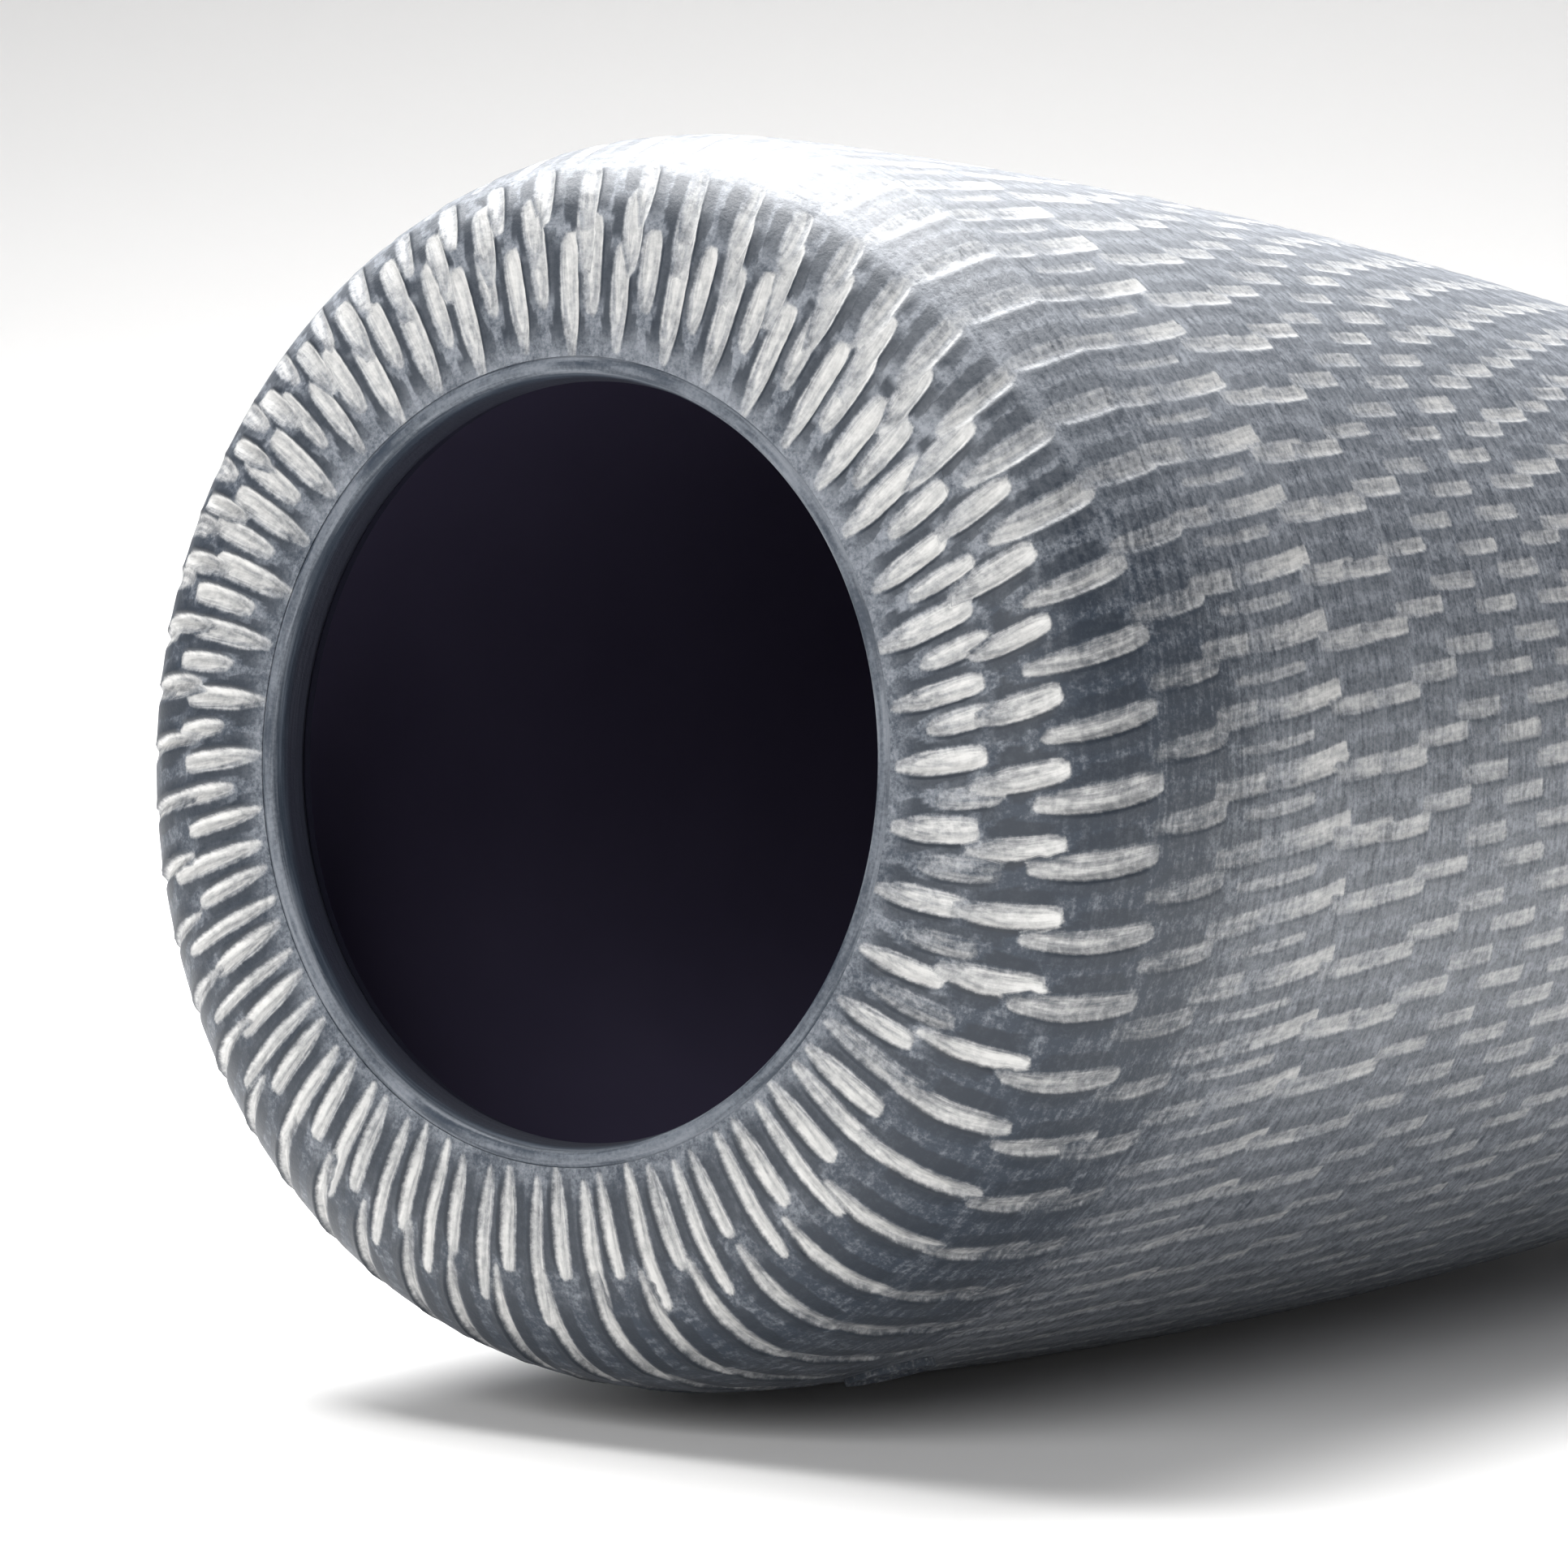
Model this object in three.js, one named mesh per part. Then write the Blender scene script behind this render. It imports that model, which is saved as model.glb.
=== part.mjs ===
// A wheel-thrown stoneware vase that lies on its side: a wide mouth with a thin trimmed lip, a
// closed-in shoulder and a body that tapers to a turned foot. Millimetres, +Z up. The vase's axis
// runs from the mouth, at -X, to the foot, at +X, and slopes down a little towards the foot.
// The origin is on the ground, under the middle of the vase.
import * as THREE from 'three';

// Overall sizes.
const LENGTH = 258;              // lip plane to the plane of the foot
const MAX_RADIUS = 76;           // widest ring, just behind the shoulder
const END_RADIUS = 61.5;         // body where the foot ring begins
const WALL = 5;                  // thickness of the thrown wall
// Mouth and shoulder.
const LIP_RADIUS = 47.5;         // outer edge of the lip ring
const LIP_EDGE = 1.2;            // width of the lip's flat top
const LIP_BAND = 2.5;            // outer edge of the lip to the throat, the narrowest ring
const THROAT_CHAMFER = 0.5;
const SHOULDER_DEPTH = 38.5;     // lip plane to the end of the shoulder curve
const SHOULDER_SQUARENESS = 3.7; // superellipse exponent of the shoulder: 2 would be an ellipse
const TAPER_START = 42.5;        // where the body starts to narrow
// Places where the thrown sections are luted together, measured from the lip plane.
const SHOULDER_JOINT = 48;
const BELLY_JOINT = 92;
const MIDDLE_JOINT = 162;
// Base.
const BASE_THICKNESS = 7;
const FOOT_HEIGHT = 6;           // turned ring below the body
const FOOT_STEP = 4.5;           // edge of the body to the outer edge of the foot ring
const FOOT_WIDTH = 8;
const FOOT_BEVEL = 1;
// Liner glaze and maker's seal.
const GLAZE = 1;
const SEAL_RADIUS = 6;
const SEAL_THICKNESS = 1;
const SEAL_DEPTH = 36;           // centre of the seal, from the lip plane
const SEAL_ANGLE = 161.5;        // degrees round the axis from the top of the lying vase
// Modelling.
const GAP = 0.3;                 // clearance between neighbouring pieces
const SIDES = 48;                // flats round the vase, one of them facing straight down
const SHOULDER_TURNS = [0, 10, 20, 30, 42, 55, 68, 80, 90];   // degrees along the shoulder curve
const BELLY_STEPS = 2;           // straight stretches of the section behind the shoulder
const TAPER_STEPS = 4;           // straight stretches of the lowest section

const bodyEnd = LENGTH - FOOT_HEIGHT;
const throatRadius = LIP_RADIUS - LIP_BAND;
const shoulderTopRadius = LIP_RADIUS + GAP;
const footRadius = END_RADIUS - FOOT_STEP;

// Outer radius of the wall at a depth below the lip plane: a superellipse shoulder that runs into
// a parabolic taper.
function wallRadius(depth) {
  const left = Math.max(0, 1 - depth / SHOULDER_DEPTH);
  const swell = (1 - left ** SHOULDER_SQUARENESS) ** (1 / SHOULDER_SQUARENESS);
  const run = Math.max(0, depth - TAPER_START) / (bodyEnd - TAPER_START);
  const taper = (MAX_RADIUS - END_RADIUS) * run ** 2;
  return shoulderTopRadius + (MAX_RADIUS - shoulderTopRadius) * swell - taper;
}

// Unit tangent of the outer outline, from the mouth towards the foot, as (radial, axial).
function wallTangent(depth) {
  const step = 0.01;
  const from = Math.max(0, depth - step);
  return new THREE.Vector2(wallRadius(depth + step) - wallRadius(from), depth + step - from).normalize();
}

// A point of the outline moved square to the wall, inwards by inset.
function insetPoint(depth, inset) {
  const tangent = wallTangent(depth);
  return new THREE.Vector2(wallRadius(depth) - inset * tangent.y, depth + inset * tangent.x);
}

// The same surface met level with a depth, for the flat joints between sections.
function levelPoint(depth, inset) {
  return new THREE.Vector2(wallRadius(depth) - inset / wallTangent(depth).y, depth);
}

// Depths at even steps, from one depth to another.
function evenDepths(from, to, steps) {
  return Array.from({ length: steps + 1 }, (_, i) => from + ((to - from) * i) / steps);
}

// Depths along the shoulder curve, close together where it turns tightest.
const shoulderDepths = SHOULDER_TURNS.map(
  (turn) => SHOULDER_DEPTH * (1 - Math.cos(THREE.MathUtils.degToRad(turn)) ** (2 / SHOULDER_SQUARENESS))
);

// The shoulder's outline moved square to the wall, inwards by inset.
function shoulderLine(inset) {
  return shoulderDepths.map((depth) => insetPoint(depth, inset));
}

function clay(colour, roughness) {
  return new THREE.MeshStandardMaterial({ color: colour, roughness, metalness: 0 });
}

// A solid of revolution about +Y with a flat facing the underside. The profile closes on itself,
// or starts and ends on the axis.
function turned(name, profile, material) {
  const mesh = new THREE.Mesh(new THREE.LatheGeometry(profile, SIDES, Math.PI / SIDES), material);
  mesh.name = name;
  return mesh;
}

// Closes a ring-shaped profile.
function closed(points) {
  return [...points, points[0].clone()];
}

// A section of the wall with level joints at both ends, half a gap short of each.
function wallSection(name, from, to, steps, material) {
  const depths = evenDepths(from + GAP / 2, to - GAP / 2, steps);
  const outer = depths.map((depth) => levelPoint(depth, 0));
  const inner = depths.map((depth) => levelPoint(depth, WALL)).reverse();
  return turned(name, closed([...outer, ...inner]), material);
}

function shoulderWall(material) {
  const joint = SHOULDER_JOINT - GAP / 2;
  const outer = [...shoulderLine(0), levelPoint(joint, 0)];
  const inner = [...shoulderLine(WALL), levelPoint(joint, WALL)].reverse();
  return turned('shoulder_wall', closed([...outer, ...inner]), material);
}

// The lip ring: a flat top edge, and an inner band that narrows down to the throat.
function lipRing(material) {
  const profile = [
    new THREE.Vector2(LIP_RADIUS - LIP_EDGE, 0),
    new THREE.Vector2(LIP_RADIUS, 0),
    new THREE.Vector2(LIP_RADIUS, WALL),
    new THREE.Vector2(throatRadius + THROAT_CHAMFER, WALL),
    new THREE.Vector2(throatRadius, WALL - THROAT_CHAMFER),
  ];
  return turned('lip_ring', closed(profile), material);
}

function baseDisc(material) {
  const top = bodyEnd - BASE_THICKNESS;
  const profile = [
    new THREE.Vector2(0, top),
    levelPoint(top, WALL + GAP),
    levelPoint(bodyEnd, WALL + GAP),
    new THREE.Vector2(0, bodyEnd),
  ];
  return turned('base_disc', profile, material);
}

function footRing(material) {
  const top = bodyEnd + GAP;
  const inside = footRadius - FOOT_WIDTH;
  const profile = [
    new THREE.Vector2(inside - FOOT_BEVEL, top),
    new THREE.Vector2(footRadius + FOOT_BEVEL, top),
    new THREE.Vector2(footRadius, LENGTH - FOOT_BEVEL),
    new THREE.Vector2(footRadius - FOOT_BEVEL, LENGTH),
    new THREE.Vector2(inside + FOOT_BEVEL, LENGTH),
    new THREE.Vector2(inside, LENGTH - FOOT_BEVEL),
  ];
  return turned('foot_ring', closed(profile), material);
}

// One face of the liner glaze, from under the lip ring to the middle of the floor. It bends at the
// same depths as the wall sections do, so it stays one gap away from them.
function linerLine(inset) {
  const floor = bodyEnd - BASE_THICKNESS + WALL - inset;
  const start = new THREE.Vector2(throatRadius + inset - WALL, inset);
  const depths = [
    ...evenDepths(SHOULDER_JOINT, BELLY_JOINT, BELLY_STEPS),
    ...evenDepths(MIDDLE_JOINT, bodyEnd, TAPER_STEPS).filter((depth) => depth < floor),
    floor,
  ];
  const taper = depths.map((depth) => levelPoint(depth, inset));
  return [start, ...shoulderLine(inset), ...taper, new THREE.Vector2(0, floor)];
}

function linerGlaze(material) {
  const outer = linerLine(WALL + GAP).reverse();
  const inner = linerLine(WALL + GAP + GLAZE);
  return turned('liner_glaze', [...outer, ...inner].reverse(), material);
}

// A small round pad on the shoulder section, square to the wall.
function makersSeal(material) {
  const tangent = wallTangent(SEAL_DEPTH);
  const angle = THREE.MathUtils.degToRad(SEAL_ANGLE);
  const radial = new THREE.Vector3(Math.sin(angle), 0, Math.cos(angle));
  const normal = radial.clone().multiplyScalar(tangent.y).add(new THREE.Vector3(0, -tangent.x, 0));
  const mesh = new THREE.Mesh(
    new THREE.CylinderGeometry(SEAL_RADIUS, SEAL_RADIUS, SEAL_THICKNESS, 24), material
  );
  mesh.name = 'makers_seal';
  mesh.position.copy(radial).multiplyScalar(wallRadius(SEAL_DEPTH)).setY(SEAL_DEPTH);
  mesh.position.addScaledVector(normal, GAP + SEAL_THICKNESS / 2);
  mesh.quaternion.setFromUnitVectors(new THREE.Vector3(0, 1, 0), normal);
  return mesh;
}

// The slope of the axis that lays the middle section's lowest flat on the ground.
function restTilt() {
  const from = BELLY_JOINT + GAP / 2;
  const to = MIDDLE_JOINT - GAP / 2;
  const apothem = Math.cos(Math.PI / SIDES);
  return Math.atan(((wallRadius(from) - wallRadius(to)) * apothem) / (to - from));
}

const slip = clay(0x5c636c, 0.75);
const vase = new THREE.Group();
vase.add(
  lipRing(clay(0x4b525d, 0.6)),
  shoulderWall(slip),
  wallSection('belly_wall', SHOULDER_JOINT, BELLY_JOINT, BELLY_STEPS, clay(0x62696f, 0.75)),
  wallSection('middle_wall', BELLY_JOINT, MIDDLE_JOINT, 1, clay(0x686e73, 0.75)),
  wallSection('lower_wall', MIDDLE_JOINT, bodyEnd + GAP / 2, TAPER_STEPS, clay(0x70757a, 0.75)),
  baseDisc(clay(0x6a6f74, 0.85)),
  footRing(clay(0x9a9a96, 0.9)),
  linerGlaze(clay(0x0c0c14, 0.25)),
  makersSeal(clay(0x8a8f94, 0.8)),
);

// Lay the vase down, then set the ground under its middle.
vase.rotation.set(0, restTilt(), -Math.PI / 2, 'YXZ');
vase.updateMatrixWorld(true);
const box = new THREE.Box3().setFromObject(vase, true);
vase.position.set(-(box.min.x + box.max.x) / 2, -(box.min.y + box.max.y) / 2, -box.min.z);

const part = new THREE.Group();
part.add(vase);

export default part;
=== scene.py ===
"""A chatter-carved stoneware vase that lies on its side on a white studio floor.

Each piece is turned upright, mouth at the bottom of its own frame, about an axis along +Z, and is
then laid down to where the frame says it goes. Sizes are in millimetres until that last step.
"""
import math

import bpy
import numpy as np
from mathutils import Matrix, Vector


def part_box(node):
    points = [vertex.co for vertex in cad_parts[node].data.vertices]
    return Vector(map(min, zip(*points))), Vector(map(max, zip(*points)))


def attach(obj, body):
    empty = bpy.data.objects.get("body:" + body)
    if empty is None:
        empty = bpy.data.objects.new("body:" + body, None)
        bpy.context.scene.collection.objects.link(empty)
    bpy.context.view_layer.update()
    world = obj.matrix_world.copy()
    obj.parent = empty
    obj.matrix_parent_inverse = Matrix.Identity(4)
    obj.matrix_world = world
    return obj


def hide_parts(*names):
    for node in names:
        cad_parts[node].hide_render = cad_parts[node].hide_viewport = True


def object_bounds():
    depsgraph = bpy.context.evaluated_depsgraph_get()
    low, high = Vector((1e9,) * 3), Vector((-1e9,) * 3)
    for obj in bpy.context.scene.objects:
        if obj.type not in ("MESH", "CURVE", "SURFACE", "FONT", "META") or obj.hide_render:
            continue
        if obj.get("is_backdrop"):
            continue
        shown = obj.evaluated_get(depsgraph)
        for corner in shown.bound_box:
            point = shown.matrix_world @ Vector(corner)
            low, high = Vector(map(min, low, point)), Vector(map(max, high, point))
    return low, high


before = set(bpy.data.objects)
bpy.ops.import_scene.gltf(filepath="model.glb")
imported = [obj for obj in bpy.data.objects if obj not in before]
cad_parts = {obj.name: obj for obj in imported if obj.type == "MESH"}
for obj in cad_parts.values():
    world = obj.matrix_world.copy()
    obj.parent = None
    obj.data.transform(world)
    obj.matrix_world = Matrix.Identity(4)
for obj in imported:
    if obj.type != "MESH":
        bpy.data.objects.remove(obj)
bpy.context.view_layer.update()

MM = 0.001

# Sizes of the pot, as the frame's pieces have them.
LENGTH = 258.0
MAX_RADIUS = 76.0
END_RADIUS = 61.5
WALL = 5.0
SHOULDER_TOP = 47.8
THROAT_RADIUS = 45.0
SHOULDER_DEPTH = 38.5
SQUARENESS = 3.7
TAPER_START = 42.5
BODY_END = 252.0
BASE_THICKNESS = 7.0
FOOT_RADIUS = 57.0
FOOT_WIDTH = 8.0
GLAZE = 1.0
LINER_GAP = 0.3
JOINTS = (48.0, 92.0, 162.0)
SEAL_DEPTH = 36.0
SEAL_TURN = -71.5

# Details that the frame's plainer pieces leave out.
HEEL = 2.5                # how far the body's lower corner is rounded
SEAL_RADIUS = 5.6
SEAL_THICKNESS = 1.0
SEAL_LIFT = 0.1           # the wall to the middle of the seal
SEAL_CLEARING = 6.5       # the wall is smooth this far round the seal's middle
SEAL_FADE = 3.0           # the marks come back over this much more

# How finely the carved wall is thrown.
WALL_SIDES = 1120
INNER_ROWS = 7
SAME_PLACE = 0.005        # points closer than this are one

# The camera: where it looks from, seen from the middle of the mouth.
CAMERA_TURN = 37.5
CAMERA_RISE = 3.62
CAMERA_DISTANCE = 764.3
CAMERA_ASIDE = 25.9
CAMERA_BELOW = 2.6
CAMERA_LENS = 149.0
CAMERA_SENSOR = 36.0

# The studio sweep, in metres: how wide its floor is, how far behind the pot's middle it starts to
# curve, how many steps it curves up in and how long they are, and how high the wall above them is.
SWEEP_SIZE = 6.0
SWEEP_BEHIND = 0.9
SWEEP_STEPS = 16
SWEEP_STRIDE = 0.12
SWEEP_WALL = 2.0


# --------------------------------------------------------------------------- outline of the pot

def wall_radius(depth):
    """Outer radius at a depth below the lip: a squared-off shoulder that runs into a long taper."""
    left = np.clip(1 - np.asarray(depth, float) / SHOULDER_DEPTH, 0, 1)
    swell = (1 - left ** SQUARENESS) ** (1 / SQUARENESS)
    run = np.clip(np.asarray(depth, float) - TAPER_START, 0, None) / (BODY_END - TAPER_START)
    return SHOULDER_TOP + (MAX_RADIUS - SHOULDER_TOP) * swell - (MAX_RADIUS - END_RADIUS) * run ** 2


def fine_depths(step=0.05):
    """Depths close enough together to measure along the outline, closest at the lip."""
    quarter = np.linspace(0, math.pi / 2, 2000)
    shoulder = SHOULDER_DEPTH * (1 - np.cos(quarter) ** (2 / SQUARENESS))
    return np.concatenate([shoulder, np.arange(SHOULDER_DEPTH + step, BODY_END, step), [BODY_END]])


DEPTHS = fine_depths()
RADII = wall_radius(DEPTHS)
ARCS = np.concatenate([[0], np.cumsum(np.hypot(np.diff(DEPTHS), np.diff(RADII)))])


def arc_at(depth):
    """Distance along the outline from the lip, at a depth below it."""
    return float(np.interp(depth, DEPTHS, ARCS))


def outline(arc, inset=0.0, step=0.05):
    """(radius, depth) at a distance along the outline, moved square to it, inwards by inset."""
    depth = np.interp(arc, ARCS, DEPTHS)
    ahead = np.interp(arc + step, ARCS, DEPTHS)
    behind = np.interp(arc - step, ARCS, DEPTHS)
    along = np.stack([wall_radius(ahead) - wall_radius(behind), ahead - behind])
    along = along / np.hypot(*along)
    return wall_radius(depth) - inset * along[1], depth + inset * along[0]


def level(depth, inset, step=0.1):
    """(radius, depth) where the wall's face at inset is met level with a depth."""
    slope = float(wall_radius(depth + step) - wall_radius(depth - step)) / (2 * step)
    return float(wall_radius(depth)) - inset * math.hypot(1, slope), depth


# --------------------------------------------------------------------------- laying the pot down

def middle(node):
    """The middle of a frame node's box."""
    low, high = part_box(node)
    return (low + high) / 2


def lying_matrix():
    """From a piece's own upright frame, in millimetres, to where it lies, in metres."""
    lip, foot = middle("lip_ring"), middle("foot_ring")
    along = (foot - lip).normalized()
    near = Vector((0, -1, 0))
    down = along.cross(near)
    mouth = lip - along * WALL * MM / 2
    turn = Matrix((near, down, along)).transposed().to_4x4()
    return Matrix.Translation(mouth) @ turn @ Matrix.Scale(MM, 4)


LAY = lying_matrix()


def only(obj):
    """Deselects everything but obj, which becomes the active one."""
    if bpy.context.object and bpy.context.object.mode != "OBJECT":
        bpy.ops.object.mode_set(mode="OBJECT")
    bpy.ops.object.select_all(action="DESELECT")
    obj.select_set(True)
    bpy.context.view_layer.objects.active = obj


def lay_down(obj, matrix):
    """Puts a piece where it lies, with its place in its mesh. matrix is its place on the upright pot."""
    only(obj)
    obj.matrix_world = LAY @ matrix @ obj.matrix_world
    bpy.ops.object.transform_apply(location=True, rotation=True, scale=True)


def turned(name, profile, sides, arcs=None):
    """A solid of revolution: a ring of points set to the profile, turned round the axis.

    The profile is a closed ring of (radius, depth), or starts and ends on the axis. arcs gives
    each point's distance along the outline, kept as the vertices' own number.
    """
    bpy.ops.mesh.primitive_circle_add(vertices=len(profile), radius=1)
    obj = bpy.context.object
    obj.name = obj.data.name = name
    points = np.array([(r, 0.0, z) for r, z in profile])
    obj.data.vertices.foreach_set("co", points.ravel())
    if arcs is not None:
        obj.data.attributes.new("arc", "FLOAT", "POINT").data.foreach_set("value", arcs)
    if profile[0][0] == 0:
        drop_axis_edge(obj)
    turn = obj.modifiers.new("turn", "SCREW")
    turn.angle = 2 * math.pi
    turn.steps = turn.render_steps = sides
    turn.use_merge_vertices = True
    turn.merge_threshold = SAME_PLACE
    only(obj)
    bpy.ops.object.modifier_apply(modifier=turn.name)
    bpy.ops.object.mode_set(mode="EDIT")
    bpy.ops.mesh.select_all(action="SELECT")
    bpy.ops.mesh.remove_doubles(threshold=SAME_PLACE)
    bpy.ops.mesh.normals_make_consistent(inside=False)
    bpy.ops.object.mode_set(mode="OBJECT")
    return obj


def drop_axis_edge(obj):
    """Deletes the edge that closes a profile along the axis."""
    only(obj)
    bpy.ops.object.mode_set(mode="EDIT")
    bpy.ops.mesh.select_all(action="DESELECT")
    bpy.ops.mesh.select_mode(type="EDGE")
    bpy.ops.object.mode_set(mode="OBJECT")
    on_axis = [v.co.x == 0 for v in obj.data.vertices]
    for edge in obj.data.edges:
        edge.select = all(on_axis[v] for v in edge.vertices)
    bpy.ops.object.mode_set(mode="EDIT")
    bpy.ops.mesh.delete(type="EDGE")
    bpy.ops.mesh.select_mode(type="VERT")
    bpy.ops.object.mode_set(mode="OBJECT")


def smooth(obj, degrees=50):
    """Shades a piece smooth, apart from edges sharper than degrees."""
    only(obj)
    bpy.ops.object.shade_smooth_by_angle(angle=math.radians(degrees))


# --------------------------------------------------------------------------- chatter marks

class Row:
    """One turn of chatter marks. Lengths are along the outline, from the lip, in millimetres.

    start and end are where the marks lie on the near side. marks is how many go round. place is
    how many degrees up from the near side one mark's lower edge starts, and rise how many more it
    gains by its end. faint and bright say how much pale clay shows at its start and end. corner
    is the exponent of its ends, 4 is round and 14 is square, and point the share of its width
    that it starts with. top and under are its start and end on the pot's upper and lower sides.
    lost is a stretch of the turn, from and to in degrees, where the marks are nearly missed.
    """

    def __init__(self, start, end, marks, place, rise, width, deep, faint, bright, corner, point,
                 top=None, under=None, lost=None):
        self.start, self.end, self.marks, self.place = start, end, marks, place
        self.rise, self.width, self.deep = rise, width, deep
        self.faint, self.bright, self.corner, self.point = faint, bright, corner, point
        self.top, self.under, self.lost = top or (start, end), under or (start, end), lost
        round_ended = corner < 6
        self.start_scatter = 0.9 if round_ended else 0.6
        self.end_scatter = 0.8 if round_ended else 0.35
        self.runout = 0.2 if round_ended else 0.07
        self.fade = 0.5 if round_ended else 0.22

    def span(self, margin=4):
        """The stretch of the outline that the row can reach anywhere round the pot."""
        early = max(abs(self.top[0] - self.start), abs(self.under[0] - self.start)) + margin
        late = max(abs(self.top[1] - self.end), abs(self.under[1] - self.end)) + margin
        return self.start - early, self.end + late

    def lean(self, along):
        """Degrees that a mark's lower edge has gained at a share of its length."""
        return self.rise * np.clip(along, 0, 1.3) ** 1.5


ROWS = [
    Row(0.3, 12.8, 44, -0.2, 1.5, 3.1, 0.60, 0.48, 0.86, 5, 0.6, top=(0.3, 14.8), under=(0.3, 12.8)),
    Row(5.8, 15.2, 44, 4.6, 1.4, 2.9, 0.50, 0.55, 0.90, 4, 0.8, top=(5.2, 17.0), under=(0.4, 17.5),
        lost=(-42, 4)),
    Row(11.0, 23.2, 52, -1.6, 2.1, 3.1, 0.60, 0.55, 0.82, 4, 0.7, top=(10.6, 22.0), under=(12.4, 28.0)),
    Row(18.6, 35.0, 55, 3.5, 2.6, 3.2, 0.42, 0.55, 0.40, 5, 0.7, top=(16.4, 27.0), under=(26.0, 39.0)),
    Row(33.0, 46.5, 58, 1.8, 1.8, 3.1, 0.20, 0.14, 0.24, 6, 0.8, top=(27.0, 45.0), under=(34.0, 45.0)),
    Row(44.0, 55.0, 60, 4.6, 1.0, 2.9, 0.15, 0.16, 0.30, 8, 0.9),
    Row(49.0, 65.0, 60, -3.2, 1.7, 1.5, 0.10, 0.18, 0.34, 12, 0.9),
    Row(54.0, 72.2, 60, -0.4, 2.4, 2.9, 0.15, 0.10, 0.66, 14, 0.95),
    Row(69.0, 81.5, 61, 0.3, 1.2, 2.7, 0.13, 0.22, 0.46, 14, 0.9),
    Row(78.8, 89.8, 61, 1.2, 1.1, 2.6, 0.13, 0.26, 0.48, 14, 0.9),
    Row(87.8, 99.6, 61, 3.5, 1.0, 2.4, 0.12, 0.22, 0.44, 14, 0.9),
    Row(98.0, 109.0, 61, 0.5, 0.8, 2.5, 0.12, 0.20, 0.38, 14, 0.9),
    Row(106.8, 118.0, 61, 4.4, 0.9, 2.3, 0.12, 0.20, 0.40, 14, 0.9),
    Row(115.8, 126.8, 61, 2.2, 0.9, 2.4, 0.12, 0.22, 0.44, 14, 0.9),
]
# The rows after those: where the first ends, how far apart they are, how many marks go round, and
# how much of the body is left bare above the foot.
BODY_START = 135.5
BODY_STEP = 9.0
BODY_MARKS = 61
FOOT_MARGIN = 7.0
# How much nearer the mouth the body's marks run on the pot's upper side than on its near side.
DRIFT = 7.5
# Stand for a place far outside every cut, and one far below every mark.
NO_CUT = -2.0
NO_EDGE = -4.0
# Each row draws its own random numbers, from this seed plus the row's number.
FIRST_SEED = 100


def body_rows(first, last):
    """Rows down the body to the foot: even turns, no two of which start at the same place."""
    rows, end, number = [], first, 0
    while end < last:
        length = 11.4 + 1.2 * math.sin(2.1 * number)
        bright = 0.42 + 0.06 * math.sin(1.3 * number + 0.5)
        rows.append(Row(end - length, end, BODY_MARKS, 2.3 * number % 5.9, 0.9, 2.3, 0.13,
                        bright - 0.18, bright, 14, 0.9))
        end += BODY_STEP + 0.8 * math.sin(1.7 * number)
        number += 1
    return rows


ROWS += body_rows(BODY_START, float(ARCS[-1]) - FOOT_MARGIN)


def ramp(value):
    """0 below 0, 1 above 1, and smooth between."""
    t = np.clip(value, 0, 1)
    return t * t * (3 - 2 * t)


def reach(row, degrees):
    """Where a row's marks start and end at angles round the pot."""
    high = ramp((degrees - 12) / 45) * ramp((180 - degrees) / 15)
    low = ramp((-degrees - 12) / 32) * ramp((180 + degrees) / 15)
    plain = 1 - high - low
    return (plain * row.start + high * row.top[0] + low * row.under[0],
            plain * row.end + high * row.top[1] + low * row.under[1])


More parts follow.
